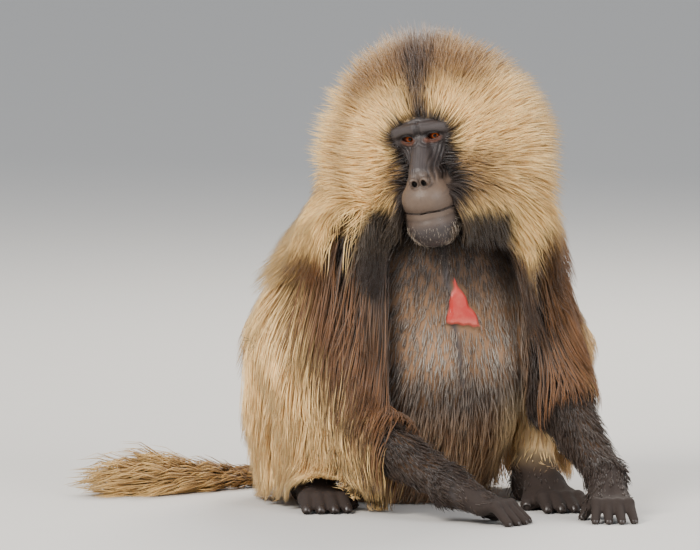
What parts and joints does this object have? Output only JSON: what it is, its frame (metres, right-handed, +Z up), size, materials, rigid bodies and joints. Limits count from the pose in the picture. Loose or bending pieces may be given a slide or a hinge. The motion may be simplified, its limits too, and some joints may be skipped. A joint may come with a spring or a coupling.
{
  "type": "primate",
  "caption": "Life-size adult male gelada, seated on the ground and facing forward, with a long mane and cape, a bare red chest patch and a tufted tail",
  "frame": {"origin": "middle of the seat's flat, on the floor under the rump", "axes": "+Z up, the face looks towards -Y, +X is the animal's left, metres"},
  "size_m": [0.7093, 0.5631, 0.6088],
  "materials": {
    "face_skin": "matte",
    "hand_fur": "matte",
    "trunk_fur": "matte",
    "mane_hair": "satin",
    "cape_hair": "satin",
    "tail_hair": "satin",
    "chest_skin": "matte",
    "eye": "gloss"
  },
  "bodies": {
    "root": {"head": "face_skin", "ear_right": "face_skin", "ear_left": "face_skin", "eye_right": "eye", "eye_left": "eye", "neck": "trunk_fur", "trunk": "trunk_fur", "chest_patch": "chest_skin", "upper_arm_right": "trunk_fur", "upper_arm_left": "trunk_fur", "forearm_right": "hand_fur", "forearm_left": "hand_fur", "hand_right": "hand_fur", "hand_left": "hand_fur", "thigh_right": "trunk_fur", "thigh_left": "trunk_fur", "shank_right": "trunk_fur", "shank_left": "trunk_fur", "foot_right": "hand_fur", "foot_left": "hand_fur", "crown": "mane_hair", "ruff_right": "mane_hair", "ruff_left": "mane_hair", "nape": "mane_hair", "cape_right": "cape_hair", "cape_left": "cape_hair", "cape_back": "cape_hair", "tail_base": "tail_hair", "tail_middle": "tail_hair", "tail_end": "tail_hair"}
  },
  "joints": []
}
